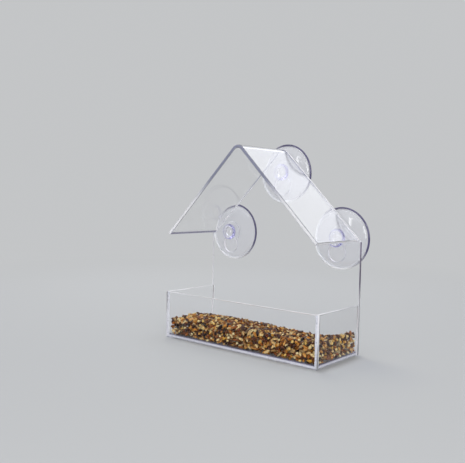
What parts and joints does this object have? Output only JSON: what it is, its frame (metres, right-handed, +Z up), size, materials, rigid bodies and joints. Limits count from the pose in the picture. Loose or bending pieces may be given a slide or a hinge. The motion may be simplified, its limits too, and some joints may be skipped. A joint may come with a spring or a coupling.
{
  "type": "window bird feeder",
  "caption": "Clear window bird feeder: house-shaped back panel with keyholes, bent pitched roof and open seed tray, hung on suction cups that slide in the keyholes.",
  "frame": {"origin": "middle of the flat underside of the seed tray", "axes": "+X to the right seen from the birds' side, +Y towards the window pane, +Z up"},
  "size_m": [0.16, 0.0668, 0.166],
  "materials": {
    "clear_acrylic": "gloss",
    "clear_soft_pvc": "gloss",
    "mixed_seed": "matte"
  },
  "bodies": {
    "feeder": {"back_panel": "clear_acrylic", "roof": "clear_acrylic", "tray_front": "clear_acrylic", "tray_left_end": "clear_acrylic", "tray_right_end": "clear_acrylic", "tray_floor": "clear_acrylic", "seed_mix": "mixed_seed"},
    "upper_cup": {"upper_cup": "clear_soft_pvc"},
    "left_cup": {"left_cup": "clear_soft_pvc"},
    "right_cup": {"right_cup": "clear_soft_pvc"}
  },
  "joints": [
    {"name": "upper_cup_slide", "type": "slide", "parent": "feeder", "child": "upper_cup", "axis": [0, 0, -1], "range_m": [0, 0.011]},
    {"name": "left_cup_slide", "type": "slide", "parent": "feeder", "child": "left_cup", "axis": [0, 0, -1], "range_m": [0, 0.011]},
    {"name": "right_cup_slide", "type": "slide", "parent": "feeder", "child": "right_cup", "axis": [0, 0, -1], "range_m": [0, 0.011]}
  ]
}
